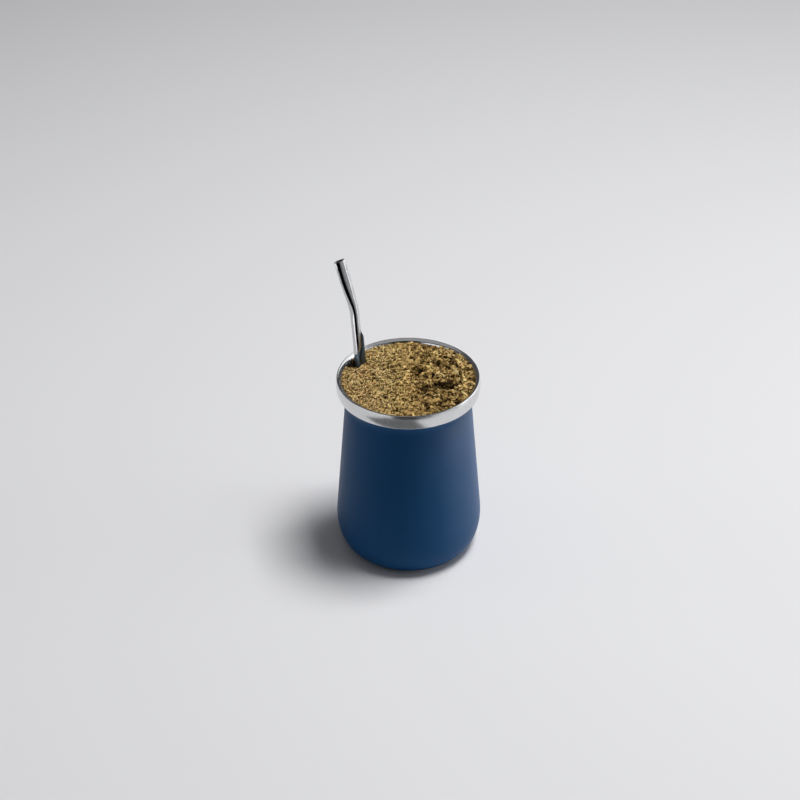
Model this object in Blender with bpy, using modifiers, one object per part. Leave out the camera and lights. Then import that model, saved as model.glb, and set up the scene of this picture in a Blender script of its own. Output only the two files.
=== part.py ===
"""Mate drink: a coated steel cup with a bare steel lip, filled with yerba mate, and a bent steel straw.

Metres, +Z up. The origin is the middle of the foot, on the surface that the cup stands on.
The viewer's side is -Y, and the straw stands at the back left.
"""
import math
import random

import bmesh
import bpy
from mathutils import Matrix, Vector, noise

MM = 0.001
GAP = 0.3 * MM                           # clearance between neighbouring pieces
TURN_STEPS = 56                          # facets round the cup
SMOOTH_ANGLE = math.radians(32)

# Cup, seen from outside
CUP_HEIGHT = 105.0 * MM                  # floor to the top of the lip
BAND_HEIGHT = 7.9 * MM                   # bare steel band below the lip
BAND_LOW_RADIUS = 37.25 * MM
BAND_BULGE = 0.38 * MM                   # how far its middle stands out from a straight band
LIP_RADIUS = 37.45 * MM
LIP_EDGE = 0.45 * MM                     # rounding of the lip's outer edge
LIP_INNER_RADIUS = 36.4 * MM
LIP_INNER_DROP = 0.25 * MM               # the lip's inner edge, below its top
WALL_TOP_RADIUS = 32.65 * MM             # the straight wall, carried up to the band
WALL_FOOT_RADIUS = 41.1 * MM             # the straight wall, carried down to the floor
BELLY_START = 22.9 * MM                  # the wall is straight down to here
BELLY_POWER = 2.14                       # fullness of the curve between wall and foot
FOOT_RADIUS = 29.9 * MM
COLLAR_HEIGHT = 7.8 * MM                 # hollow flare of the shell just below the band
COLLAR_FLARE = 2.6 * MM
RECESS_RADIUS = 24.0 * MM                # shallow recess in the underside, with a sloping edge
RECESS_DEPTH = 0.8 * MM

# Steel liner, inside
WALL_GAUGE = 2.4 * MM                    # outer wall to the liner's inner face
LINER_WALL = 0.8 * MM
LINER_FLOOR = 6.5 * MM                   # height of the cup's inner floor
LINER_CORNER = 15.0 * MM
NECK_HEIGHT = 88.0 * MM                  # the liner flares above this
FLARE_RISE = Vector((0.7, 6.0)) * MM     # Bezier handle at the neck, radius and height
FLARE_LIP = Vector((-1.7, -1.55)) * MM   # Bezier handle at the lip

# Yerba mate filling
FILL_LEVEL = 103.2 * MM                  # surface at the wall
FILL_CROWN = 0.5 * MM                    # how much higher the middle lies
FILL_TOP_RADIUS = 34.8 * MM
FILL_NECK_DEPTH = 6.0 * MM               # the filling follows the liner up to this far below its surface
FILL_STOCK = 4.0 * MM                    # what the surface is cut from stands this much higher
HEAP_CENTRE = Vector((19.0, 6.0)) * MM   # loose clumps on the right
HEAP_SPREAD = 13.0 * MM
HEAP_HEIGHT = 1.5 * MM
CLUMP_START = -4.0 * MM                  # the surface grows rough from this x to the next
CLUMP_FULL = 14.0 * MM
CLUMP_SIZE = 4.2 * MM
CLUMP_RELIEF = 1.5 * MM
GRAIN_SIZE = 1.7 * MM                    # bumps of the fine leaf
GRAIN_RELIEF = 0.8 * MM
TERRAIN_PITCH = 1.75 * MM
# Pits in the surface: x, y, radius and depth in millimetres
PITS = (
    (2.5, 19.5, 1.6, 1.8),
    (5.1, 6.0, 3.0, 2.0),
    (19.5, -6.7, 3.8, 3.4),
    (8.1, -10.8, 2.8, 2.2),
    (19.2, -21.7, 2.4, 2.2),
    (15.2, 13.7, 2.2, 2.2),
    (-30.3, 15.6, 2.4, 2.6),
)
CHIP_COUNT = 76
CHIP_LENGTH = (1.1 * MM, 2.3 * MM)       # half length, smallest and largest
CHIP_GAUGE = 0.8 * MM
STALK_COUNT = 12
STALK_LENGTH = (2.6 * MM, 4.6 * MM)
STALK_RADIUS = 0.5 * MM
PIECE_SIDES = 5
PIECE_TAPER = 0.8                        # a loose piece's far end, against its near end
PIECE_SPACING = 0.8                      # distance between two pieces, against their sizes together
PIECE_LIMIT_RADIUS = 32.0 * MM           # no loose piece's middle lies further out
FEW_PIECES = 0.12                        # share of pieces that the smooth left side takes
PIECE_START = -10.0 * MM                 # pieces grow more frequent from this x on
STRAW_CLEARANCE = 2.5 * MM               # no loose piece's middle lies nearer to the sleeve
PLACE_TRIES = 400
SEED = 12

# Straw
STRAW_AT_FILL = Vector((-25.8, 16.6, 103.4)) * MM
STRAW_LOWER = Vector((-0.075, 0.22, 1.0)).normalized()
STRAW_UPPER = Vector((-0.252, 0.113, 0.961)).normalized()
STRAW_FOOT = 10.0 * MM                   # height of its lower end
STRAW_RADIUS = 2.4 * MM
STRAW_WALL = 0.4 * MM
BEND_RISE = 29.1 * MM                    # along the straw, from the fill to the middle of the bend
BEND_RADIUS = 36.0 * MM
UPPER_LENGTH = 28.4 * MM                 # from the middle of the bend to the mouth
MOUTH_HALF_WIDTH = 3.1 * MM              # the top is pressed to an oval, wide in the plane of the bend
MOUTH_HALF_DEPTH = 1.5 * MM
BORE_END = 16.0 * MM                     # the bore stops at this height
STRAW_SIDES = 18
BEND_STATIONS = 6
PRESSED_LENGTH = 14.0 * MM               # the oval is reached this far above the bend
PRESSED_STATIONS = 4

# Filter sleeve soldered to the straw's lower end
SLEEVE_RADIUS = 2.95 * MM
SLEEVE_OFFSET = 0.65 * MM                # its axis lies this far right of the straw's
SLEEVE_TIP_RISE = 18.0 * MM              # its tip, above the fill
SLEEVE_TAPER = 14.0 * MM
SLEEVE_SIDE = Vector((1.0, -0.15, 0.0))  # the side on which the tip lies
SLEEVE_SWELL = 3.0                       # how soon below its tip the sleeve stands out in full
SLEEVE_DRAW = 6.0                        # how soon above its shoulder it draws in to that side
SLEEVE_TIP_CUT = 0.6                     # the last of its rings stops this share of a step short of the tip
SLEEVE_CHAMFER = 1.0 * MM                # at its foot
POCKET_GAP = 0.35 * MM                   # between the sleeve and the filling round it
POCKET_SIDES = 24
TAPER_STATIONS = 8


def clear_scene():
    for item in list(bpy.data.objects):
        bpy.data.objects.remove(item, do_unlink=True)


def new_collection(name):
    collection = bpy.data.collections.new(name)
    bpy.context.scene.collection.children.link(collection)
    return collection


def principled(name, colour, roughness, metallic):
    material = bpy.data.materials.new(name)
    material.use_nodes = True
    shader = material.node_tree.nodes["Principled BSDF"]
    shader.inputs["Base Color"].default_value = (*colour, 1.0)
    shader.inputs["Roughness"].default_value = roughness
    shader.inputs["Metallic"].default_value = metallic
    return material


def coating_material():
    return principled("navy_coating", (0.010, 0.037, 0.090), 0.50, 0.0)


def steel_material():
    return principled("brushed_steel", (0.55, 0.55, 0.56), 0.30, 1.0)


def polished_material():
    return principled("polished_steel", (0.60, 0.60, 0.61), 0.12, 1.0)


def yerba_material():
    return principled("dry_yerba", (0.28, 0.19, 0.08), 0.90, 0.0)


def add_object(name, mesh, collection):
    item = bpy.data.objects.new(name, mesh)
    collection.objects.link(item)
    return item


def add_bmesh(name, bm, collection):
    mesh = bpy.data.meshes.new(name)
    bm.to_mesh(mesh)
    bm.free()
    return add_object(name, mesh, collection)


def hide_tool(item):
    item.hide_render = True
    item.display_type = "WIRE"


def settle(item):
    """Replace an object's mesh by what its modifiers make of it."""
    bpy.context.view_layer.update()
    evaluated = item.evaluated_get(bpy.context.evaluated_depsgraph_get())
    mesh = bpy.data.meshes.new_from_object(evaluated)
    item.modifiers.clear()
    item.data = mesh


def shade(item, material):
    item.data.materials.clear()
    item.data.materials.append(material)
    item.data.shade_smooth()
    item.data.set_sharp_from_angle(angle=SMOOTH_ANGLE)


def turned(name, profile, collection):
    """Turn a profile of (radius, height) points about the Z axis."""
    mesh = bpy.data.meshes.new(name)
    edges = [(i, i + 1) for i in range(len(profile) - 1)]
    mesh.from_pydata([(radius, 0.0, height) for radius, height in profile], edges, [])
    item = add_object(name, mesh, collection)
    screw = item.modifiers.new("turn", "SCREW")
    screw.angle = math.tau
    screw.steps = TURN_STEPS
    screw.render_steps = TURN_STEPS
    screw.use_merge_vertices = True
    screw.merge_threshold = 0.01 * MM
    settle(item)
    return item


def boolean(item, operation, tool):
    cut = item.modifiers.new(operation.lower(), "BOOLEAN")
    cut.operation = operation
    cut.solver = "EXACT"
    cut.object = tool


def fuse_collection(item, pieces):
    """Join all of a collection's solids to an object; the thin faces at its wall need this solver."""
    join = item.modifiers.new("union", "BOOLEAN")
    join.operation = "UNION"
    join.solver = "MANIFOLD"
    join.operand_type = "COLLECTION"
    join.collection = pieces


def keep_largest_body(item):
    """Drop the scraps and sealed hollows that fusing can leave."""
    bm = bmesh.new()
    bm.from_mesh(item.data)
    unseen = set(bm.faces)
    bodies = []
    while unseen:
        stack = [unseen.pop()]
        body = []
        while stack:
            face = stack.pop()
            body.append(face)
            for other in [other for edge in face.edges for other in edge.link_faces]:
                if other in unseen:
                    unseen.remove(other)
                    stack.append(other)
        bodies.append(body)
    bodies.sort(key=len)
    scraps = [face for body in bodies[:-1] for face in body]
    bmesh.ops.delete(bm, geom=scraps, context="FACES")
    bm.to_mesh(item.data)
    bm.free()


# Cup

def wall_radius(height):
    """Radius of the cup's straight outer wall."""
    share = height / (CUP_HEIGHT - BAND_HEIGHT)
    return WALL_FOOT_RADIUS + (WALL_TOP_RADIUS - WALL_FOOT_RADIUS) * share


def belly_points(count=10):
    """The full curve from the straight wall in to the foot, top to bottom."""
    corner = Vector((WALL_FOOT_RADIUS, 0.0))
    top = Vector((wall_radius(BELLY_START), BELLY_START))
    foot = Vector((FOOT_RADIUS, 0.0))
    points = []
    for i in range(count + 1):
        angle = 0.5 * math.pi * i / count
        up = 1.0 - math.sin(angle) ** (2.0 / BELLY_POWER)
        along = 1.0 - max(math.cos(angle), 0.0) ** (2.0 / BELLY_POWER)
        points.append(corner + (top - corner) * up + (foot - corner) * along)
    return points


def collar_points(count=4):
    """The hollow flare by which the shell widens to meet the band, top to bottom."""
    top = CUP_HEIGHT - BAND_HEIGHT - GAP
    points = []
    for i in range(count + 1):
        share = 1.0 - i / count
        height = top - COLLAR_HEIGHT * (1.0 - share)
        points.append(Vector((wall_radius(height) + COLLAR_FLARE * share ** 2, height)))
    return points


def bezier(start, handle_a, handle_b, end, count):
    points = []
    for i in range(count + 1):
        t = i / count
        s = 1.0 - t
        near = start * s ** 3 + handle_a * (3 * s * s * t)
        points.append(near + handle_b * (3 * s * t * t) + end * t ** 3)
    return points


def liner_face(inset=0.0, corner_count=3, flare_count=4):
    """The liner's inner face from the axis out and up to the lip, moved outwards by inset."""
    neck = Vector((wall_radius(NECK_HEIGHT) - WALL_GAUGE + inset, NECK_HEIGHT))
    lip = Vector((LIP_INNER_RADIUS + inset, CUP_HEIGHT - LIP_INNER_DROP))
    low_radius = wall_radius(BELLY_START) - WALL_GAUGE
    points = [Vector((0.0, LINER_FLOOR - inset))]
    for i in range(corner_count + 1):
        angle = 0.5 * math.pi * i / corner_count
        radius = low_radius - LINER_CORNER + (LINER_CORNER + inset) * math.sin(angle)
        height = LINER_FLOOR + LINER_CORNER - (LINER_CORNER + inset) * math.cos(angle)
        points.append(Vector((radius, height)))
    points += bezier(neck, neck + FLARE_RISE, lip + FLARE_LIP, lip, flare_count)
    return points


def below(points, height):
    """The part of a rising outline that lies below a height, ended on it."""
    kept = [point for point in points if point.y < height]
    low, high = kept[-1], points[len(kept)]
    share = (height - low.y) / (high.y - low.y)
    return kept + [low.lerp(high, share)]


def make_cup_body(collection):
    shell_top = CUP_HEIGHT - BAND_HEIGHT - GAP
    profile = below(liner_face(LINER_WALL + GAP), shell_top)
    profile += collar_points()
    profile += belly_points()
    profile.append(Vector((RECESS_RADIUS, 0.0)))
    profile.append(Vector((RECESS_RADIUS - RECESS_DEPTH, RECESS_DEPTH)))
    profile.append(Vector((0.0, RECESS_DEPTH)))
    cup = turned("cup_body", profile, collection)
    shade(cup, coating_material())
    return cup


def lip_points(count=2):
    """Over the lip, from its inner edge to the outside of the band."""
    points = []
    for i in range(count + 1):
        angle = 0.5 * math.pi * i / count
        radius = LIP_RADIUS - LIP_EDGE + LIP_EDGE * math.sin(angle)
        height = CUP_HEIGHT - LIP_EDGE + LIP_EDGE * math.cos(angle)
        points.append(Vector((radius, height)))
    return points


def band_points(count=4):
    """Down the slightly bulging outside of the band, below the lip's rounding."""
    top = CUP_HEIGHT - LIP_EDGE
    low = CUP_HEIGHT - BAND_HEIGHT
    points = []
    for i in range(1, count + 1):
        share = i / count
        radius = LIP_RADIUS + (BAND_LOW_RADIUS - LIP_RADIUS) * share
        bulge = 4.0 * BAND_BULGE * share * (1.0 - share)
        points.append(Vector((radius + bulge, top + (low - top) * share)))
    return points


def make_steel_liner(collection):
    profile = liner_face(flare_count=5) + lip_points() + band_points()
    profile += reversed(below(liner_face(LINER_WALL), CUP_HEIGHT - BAND_HEIGHT))
    liner = turned("steel_liner", profile, collection)
    shade(liner, steel_material())
    return liner


# Straw

def smooth_step(value):
    value = min(max(value, 0.0), 1.0)
    return value * value * (3.0 - 2.0 * value)


def across(vector, axis):
    """The direction of a vector's part that is square to an axis."""
    return (vector - axis * vector.dot(axis)).normalized()


def straw_at_height(height):
    return STRAW_AT_FILL + STRAW_LOWER * ((height - STRAW_AT_FILL.z) / STRAW_LOWER.z)


def straw_stations():
    """Points along the straw, its direction there and how far it is pressed to an oval, 0 to 1."""
    bend = STRAW_AT_FILL + STRAW_LOWER * BEND_RISE
    turn = STRAW_LOWER.angle(STRAW_UPPER)
    reach = BEND_RADIUS * math.tan(0.5 * turn)
    inward = across(STRAW_UPPER, STRAW_LOWER)
    full = BEND_RADIUS * turn + PRESSED_LENGTH
    stations = [(straw_at_height(STRAW_FOOT), STRAW_LOWER, 0.0)]
    for i in range(BEND_STATIONS + 1):
        angle = turn * i / BEND_STATIONS
        ahead = STRAW_LOWER * (BEND_RADIUS * math.sin(angle) - reach)
        aside = inward * (BEND_RADIUS * (1.0 - math.cos(angle)))
        direction = STRAW_LOWER * math.cos(angle) + inward * math.sin(angle)
        stations.append((bend + ahead + aside, direction, BEND_RADIUS * angle / full))
    for i in range(1, PRESSED_STATIONS + 1):
        along = PRESSED_LENGTH * i / PRESSED_STATIONS
        point = bend + STRAW_UPPER * (reach + along)
        stations.append((point, STRAW_UPPER, (BEND_RADIUS * turn + along) / full))
    stations.append((bend + STRAW_UPPER * UPPER_LENGTH, STRAW_UPPER, 1.0))
    return stations


def oval_ring(bm, centre, direction, half_width, half_depth):
    """A ring of vertices across the straw, its wide axis in the plane of the bend."""
    deep = STRAW_LOWER.cross(STRAW_UPPER).normalized()
    wide = deep.cross(direction).normalized()
    ring = []
    for i in range(STRAW_SIDES):
        angle = math.tau * i / STRAW_SIDES
        offset = wide * (half_width * math.cos(angle)) + deep * (half_depth * math.sin(angle))
        ring.append(bm.verts.new(centre + offset))
    return ring


def loft(bm, rings):
    """Join rings of equal count into one closed solid."""
    for low, high in zip(rings, rings[1:]):
        for i in range(len(low)):
            j = (i + 1) % len(low)
            bm.faces.new((low[i], low[j], high[j], high[i]))
    bm.faces.new(list(reversed(rings[0])))
    bm.faces.new(rings[-1])
    bmesh.ops.recalc_face_normals(bm, faces=bm.faces)


def tube_solid(name, inset, stations, collection):
    """The straw's outer form, or its bore, made smaller by inset."""
    bm = bmesh.new()
    rings = []
    for point, direction, along in stations:
        press = smooth_step(along)
        half_width = STRAW_RADIUS + (MOUTH_HALF_WIDTH - STRAW_RADIUS) * press - inset
        half_depth = STRAW_RADIUS + (MOUTH_HALF_DEPTH - STRAW_RADIUS) * press - inset
        rings.append(oval_ring(bm, point, direction, half_width, half_depth))
    loft(bm, rings)
    return add_bmesh(name, bm, collection)


def bore_stations():
    """The straw's stations, started above the foot and run out past the mouth."""
    stations = straw_stations()
    mouth, direction, pressed = stations[-1]
    start = (straw_at_height(BORE_END), STRAW_LOWER, 0.0)
    return [start] + stations[1:-1] + [(mouth + direction * MM, direction, pressed)]


def sleeve_section(share):
    """Radius and middle of the sleeve's ring, from its shoulder (share 0) to its tip (share 1).

    The ring passes through its outermost edge and through the joint on the straw's surface,
    and both of these are named by their place along SLEEVE_SIDE.
    """
    full_edge = SLEEVE_OFFSET + SLEEVE_RADIUS
    low_joint = full_edge - (full_edge ** 2 - STRAW_RADIUS ** 2) / (2.0 * SLEEVE_OFFSET)
    edge = STRAW_RADIUS + (full_edge - STRAW_RADIUS) * smooth_step(SLEEVE_SWELL * (1.0 - share))
    joint = STRAW_RADIUS - (STRAW_RADIUS - low_joint) * (1.0 - share) ** SLEEVE_DRAW
    middle = (edge ** 2 - STRAW_RADIUS ** 2) / (2.0 * (edge - joint))
    return edge - middle, middle


def sleeve_solid(collection):
    """The sleeve: a round bar whose top draws in to a tip on one side of the straw."""
    side = across(SLEEVE_SIDE, STRAW_LOWER)
    shoulder = straw_at_height(STRAW_FOOT) + side * SLEEVE_OFFSET
    foot = shoulder - STRAW_LOWER * SLEEVE_CHAMFER
    foot_radius = SLEEVE_RADIUS - SLEEVE_CHAMFER
    bm = bmesh.new()
    rings = [oval_ring(bm, foot, STRAW_LOWER, foot_radius, foot_radius)]
    rings.append(oval_ring(bm, shoulder, STRAW_LOWER, SLEEVE_RADIUS, SLEEVE_RADIUS))
    for i in range(TAPER_STATIONS):
        share = (i / (TAPER_STATIONS - SLEEVE_TIP_CUT)) ** 1.5
        radius, middle = sleeve_section(share)
        rise = SLEEVE_TIP_RISE - SLEEVE_TAPER * (1.0 - share)
        centre = STRAW_AT_FILL + STRAW_LOWER * rise + side * middle
        rings.append(oval_ring(bm, centre, STRAW_LOWER, radius, radius))
    loft(bm, rings)
    return add_bmesh("sleeve", bm, collection)


def make_straw(collection, tools):
    straw = tube_solid("straw", 0.0, straw_stations(), collection)
    sleeve = sleeve_solid(tools)
    bore = tube_solid("straw_bore", STRAW_WALL, bore_stations(), tools)
    hide_tool(sleeve)
    hide_tool(bore)
    boolean(straw, "UNION", sleeve)
    boolean(straw, "DIFFERENCE", bore)
    settle(straw)
    keep_largest_body(straw)
    shade(straw, polished_material())
    return straw


# Yerba mate filling

def fill_height(x, y):
    """Height of the filling's surface."""
    rough = smooth_step((x - CLUMP_START) / (CLUMP_FULL - CLUMP_START))
    radius = math.hypot(x, y)
    height = FILL_LEVEL + FILL_CROWN * (1.0 - (radius / FILL_TOP_RADIUS) ** 2)
    away = math.hypot(x - HEAP_CENTRE.x, y - HEAP_CENTRE.y) / HEAP_SPREAD
    height += HEAP_HEIGHT * math.exp(-away * away)
    height += CLUMP_RELIEF * rough * noise.noise(Vector((x, y, 0.0)) / CLUMP_SIZE)
    height += GRAIN_RELIEF * (1.0 + 0.5 * rough) * noise.noise(Vector((x, y, MM)) / GRAIN_SIZE)
    for pit_x, pit_y, pit_radius, depth in PITS:
        away = math.hypot(x - pit_x * MM, y - pit_y * MM) / (pit_radius * MM)
        height -= depth * MM * math.exp(-away * away)
    return height


def terrain_cutter(collection):
    """All that lies above the filling's surface."""
    half = FILL_TOP_RADIUS + 2.0 * TERRAIN_PITCH
    cells = math.ceil(2.0 * half / TERRAIN_PITCH)
    bm = bmesh.new()
    bmesh.ops.create_grid(bm, x_segments=cells, y_segments=cells, size=half)
    for vertex in bm.verts:
        vertex.co.z = fill_height(vertex.co.x, vertex.co.y)
    grown = bmesh.ops.extrude_face_region(bm, geom=bm.faces[:])
    for part in grown["geom"]:
        if isinstance(part, bmesh.types.BMVert):
            part.co.z = CUP_HEIGHT + 2.0 * FILL_STOCK
    bmesh.ops.triangulate(bm, faces=bm.faces)
    bmesh.ops.recalc_face_normals(bm, faces=bm.faces)
    return add_bmesh("terrain", bm, collection)


def pocket_cutter(collection):
    """Room for the straw and its sleeve, all the way down."""
    length = 1.3 * CUP_HEIGHT
    side = across(SLEEVE_SIDE, STRAW_LOWER)
    below_foot = STRAW_LOWER * (SLEEVE_CHAMFER + GAP)
    foot = straw_at_height(STRAW_FOOT) + side * SLEEVE_OFFSET - below_foot
    turn = Vector((0.0, 0.0, 1.0)).rotation_difference(STRAW_LOWER).to_matrix().to_4x4()
    place = Matrix.Translation(foot + STRAW_LOWER * (0.5 * length)) @ turn
    radius = SLEEVE_RADIUS + POCKET_GAP
    bm = bmesh.new()
    bmesh.ops.create_cone(
        bm, cap_ends=True, segments=POCKET_SIDES, radius1=radius, radius2=radius, depth=length,
        matrix=place)
    return add_bmesh("straw_pocket", bm, collection)


def spread_pieces(count, sizes, draw, taken):
    """Places for loose pieces, the largest first, more of them where the surface is rough."""
    places = []
    straw_reach = SLEEVE_RADIUS + STRAW_CLEARANCE
    for i in range(count):
        size = sizes[1] + (sizes[0] - sizes[1]) * i / (count - 1)
        for _ in range(PLACE_TRIES):
            radius = PIECE_LIMIT_RADIUS * math.sqrt(draw.random())
            angle = draw.uniform(0.0, math.tau)
            x = radius * math.cos(angle)
            y = radius * math.sin(angle)
            rough = smooth_step((x - PIECE_START) / (CLUMP_FULL - CLUMP_START))
            off_straw = math.hypot(x - STRAW_AT_FILL.x, y - STRAW_AT_FILL.y) > straw_reach
            clear = all(math.hypot(x - a, y - b) > PIECE_SPACING * (size + c) for a, b, c in taken)
            if clear and off_straw and draw.random() < FEW_PIECES + (1.0 - FEW_PIECES) * rough:
                taken.append((x, y, size))
                places.append((x, y, size))
                break
    return places


def loose_piece(kind, x, y, matrix, collection, radius, depth):
    bm = bmesh.new()
    bmesh.ops.create_cone(
        bm, cap_ends=True, segments=PIECE_SIDES, radius1=radius, radius2=PIECE_TAPER * radius,
        depth=depth)
    place = Matrix.Translation((x, y, fill_height(x, y)))
    bmesh.ops.transform(bm, matrix=place @ matrix, verts=bm.verts)
    return add_bmesh(kind, bm, collection)


def make_loose_pieces(collection):
    """Leaf chips lying at all angles and bits of stalk lying nearly flat."""
    draw = random.Random(SEED)
    taken = []
    for x, y, length in spread_pieces(STALK_COUNT, STALK_LENGTH, draw, taken):
        lying = Matrix.Rotation(math.radians(90 + draw.uniform(-16, 16)), 4, "Y")
        turn = Matrix.Rotation(draw.uniform(0.0, math.tau), 4, "Z")
        lift = Matrix.Translation((0.0, 0.0, 0.4 * STALK_RADIUS))
        loose_piece("stalk", x, y, lift @ turn @ lying, collection, STALK_RADIUS, length)
    for x, y, size in spread_pieces(CHIP_COUNT, CHIP_LENGTH, draw, taken):
        narrow = Matrix.Diagonal((1.0, draw.uniform(0.5, 0.8), 1.0, 1.0))
        tilt = Matrix.Rotation(math.radians(draw.uniform(5, 50)), 4, "Y")
        turn = Matrix.Rotation(draw.uniform(0.0, math.tau), 4, "Z")
        lift = Matrix.Translation((0.0, 0.0, 0.2 * CHIP_GAUGE))
        loose_piece("chip", x, y, lift @ turn @ tilt @ narrow, collection, size, CHIP_GAUGE)


def make_yerba(collection, tools, pieces):
    face = [point for point in liner_face(-GAP) if point.y < FILL_LEVEL - FILL_NECK_DEPTH]
    top = FILL_LEVEL + FILL_STOCK
    profile = [Vector((0.0, top)), Vector((FILL_TOP_RADIUS, top))]
    profile.append(Vector((FILL_TOP_RADIUS, FILL_LEVEL)))
    profile += reversed(face)
    yerba = turned("yerba", profile, collection)
    terrain = terrain_cutter(tools)
    pocket = pocket_cutter(tools)
    hide_tool(terrain)
    hide_tool(pocket)
    make_loose_pieces(pieces)
    boolean(yerba, "DIFFERENCE", terrain)
    fuse_collection(yerba, pieces)
    boolean(yerba, "DIFFERENCE", pocket)
    settle(yerba)
    keep_largest_body(yerba)
    shade(yerba, yerba_material())
    for item in list(pieces.objects):
        bpy.data.objects.remove(item, do_unlink=True)
    return yerba


def main():
    clear_scene()
    drink = new_collection("mate_drink")
    tools = new_collection("cutters")
    pieces = new_collection("loose_pieces")
    make_cup_body(drink)
    make_steel_liner(drink)
    make_straw(drink, tools)
    make_yerba(drink, tools, pieces)


main()
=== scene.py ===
"""Looks of the mate drink: a navy coated steel cup full of dry yerba mate, with a bent steel straw.

Metres, +Z up, the viewer's side is -Y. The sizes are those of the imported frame.
"""
import math

import bpy
import numpy as np
from mathutils import Matrix, Vector, noise


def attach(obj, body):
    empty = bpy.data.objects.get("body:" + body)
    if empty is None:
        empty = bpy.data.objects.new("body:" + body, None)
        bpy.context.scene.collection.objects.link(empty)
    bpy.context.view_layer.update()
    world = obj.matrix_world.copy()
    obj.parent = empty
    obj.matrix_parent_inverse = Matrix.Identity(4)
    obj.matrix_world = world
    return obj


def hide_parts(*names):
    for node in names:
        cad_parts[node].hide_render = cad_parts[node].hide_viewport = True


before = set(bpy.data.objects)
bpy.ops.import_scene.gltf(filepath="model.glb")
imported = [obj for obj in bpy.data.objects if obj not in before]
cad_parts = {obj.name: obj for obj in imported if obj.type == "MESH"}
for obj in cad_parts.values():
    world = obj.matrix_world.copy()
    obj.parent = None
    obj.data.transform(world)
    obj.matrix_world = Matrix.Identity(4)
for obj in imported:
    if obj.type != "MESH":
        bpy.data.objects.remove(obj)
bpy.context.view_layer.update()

MM = 0.001

# Camera, as the photograph was taken
LENS = 73.13
SENSOR = 36.0
CAMERA_DISTANCE = 855.35 * MM
CAMERA_TILT = math.radians(34.46)        # how far it looks down
CAMERA_ROLL = 0.0075                     # radians; the picture hangs very slightly askew
AIM_POINT = Vector((-4.37, 0.0, 89.7)) * MM

# Studio: places and sizes in metres, power in watts
CUP_MIDDLE = (0.0, 0.0, 0.06)
RIM_MIDDLE = (0.0, 0.0, 0.11)
STRAW_LOW = (-0.03, 0.02, 0.13)
STRAW_MIDDLE = (-0.03, 0.02, 0.15)
FACING_FRONT = (0.5 * math.pi, 0.0, 0.0)
FACING_SIDE = (0.5 * math.pi, 0.0, 0.5 * math.pi)
FLAT = (0.0, 0.0, 0.0)
# Soft lights: name, place, what it faces, width, height, power
LIGHTS = (
    ("key_top", (0.43, 0.09, 1.60), CUP_MIDDLE, 0.56, 0.56, 25.0),
    ("key_right", (0.95, 0.00, 0.13), CUP_MIDDLE, 0.60, 0.24, 2.5),
    ("fill_left", (-0.85, 0.10, 0.25), CUP_MIDDLE, 0.30, 0.40, 0.45),
    ("ceiling", (0.0, 0.0, 1.60), CUP_MIDDLE, 1.60, 1.60, 2.0),
)
# Pale cards, seen only as reflections, in the same columns
PALE_CARDS = (
    ("card_right", (0.95, 0.15, 0.55), RIM_MIDDLE, 1.10, 1.10, 4.2),
    ("card_back_right", (0.72, 0.68, 0.60), RIM_MIDDLE, 1.10, 1.30, 4.6),
    ("strip_right", (0.29, -0.02, 0.15), STRAW_MIDDLE, 0.03, 0.30, 0.07),
    ("card_top", (0.0, 0.1, 1.20), RIM_MIDDLE, 1.20, 1.20, 1.2),
    ("card_front_left", (-0.38, -0.28, 0.17), STRAW_LOW, 0.50, 0.34, 0.6),
)
COATING_CARD = ("card_low_right", (0.62, 0.07, 0.15), CUP_MIDDLE, 0.70, 0.26, 50.0)
# Dark cards, seen only as reflections: name, place, turn, width, height, glow
DARK_CARDS = (
    ("black_card_front", (0.03, -0.27, 0.175), FACING_FRONT, 0.29, 0.35, 0.0),
    ("grey_card_front", (0.345, -0.27, 0.175), FACING_FRONT, 0.34, 0.35, 0.24),
    ("grey_card_right", (0.30, -0.12, 0.15), FACING_SIDE, 0.30, 0.30, 0.42),
    ("grey_card_low", (-0.055, -0.165, 0.001), FLAT, 0.20, 0.18, 0.15),
)
CARD_BLACK = (0.003, 0.003, 0.003)
CARD_GLOW_COLOUR = (0.95, 0.98, 1.0)
ROOM_COLOUR = (0.96, 0.97, 1.0)
ROOM_GLOW = 0.08
FLOOR_COLOUR = (0.72, 0.72, 0.735)
FLOOR_SIZE = 6.0
FLOOR_DROP = 0.2 * MM                    # the floor lies this far under the foot

# Tones of the finishes, each a place on its pattern from 0 to 1 and a colour
COATING_TONES = ((0.0, (0.0006, 0.0510, 0.150)), (1.0, (0.0009, 0.0560, 0.166)))
STEEL_TONES = ((0.3, (0.66, 0.665, 0.67)), (0.7, (0.76, 0.765, 0.77)))
STRAW_TONES = ((0.0, (0.56, 0.56, 0.57)), (1.0, (0.64, 0.64, 0.65)))
# Painted shade: the sleeve's steel tones are darkened to stand in for its shade
SLEEVE_SHADED_TONES = ((0.0, (0.085, 0.112, 0.132)), (1.0, (0.115, 0.145, 0.168)))
LEAF_TONES = (
    (0.00, (0.016, 0.009, 0.003)),
    (0.13, (0.070, 0.040, 0.013)),
    (0.28, (0.250, 0.158, 0.051)),
    (0.46, (0.530, 0.350, 0.124)),
    (0.64, (0.790, 0.560, 0.232)),
    (0.78, (0.640, 0.480, 0.165)),
    (0.91, (0.950, 0.760, 0.410)),
    (1.00, (0.580, 0.240, 0.080)),
)

# Cup
SEGMENTS = 160
CUP_HEIGHT = 105.0 * MM
BAND_HEIGHT = 7.9 * MM
BAND_LOW_RADIUS = 37.25 * MM
BAND_BULGE = 0.38 * MM
BAND_EDGE = 0.35 * MM
BAND_GAP = 0.3 * MM
BAND_UNDERSIDE = 2.6 * MM                # width of the band's underside
LIP_RADIUS = 37.45 * MM
LIP_EDGE = 0.45 * MM
LIP_INNER_RADIUS = 36.7 * MM
LIP_INNER_DROP = 0.07 * MM
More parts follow.
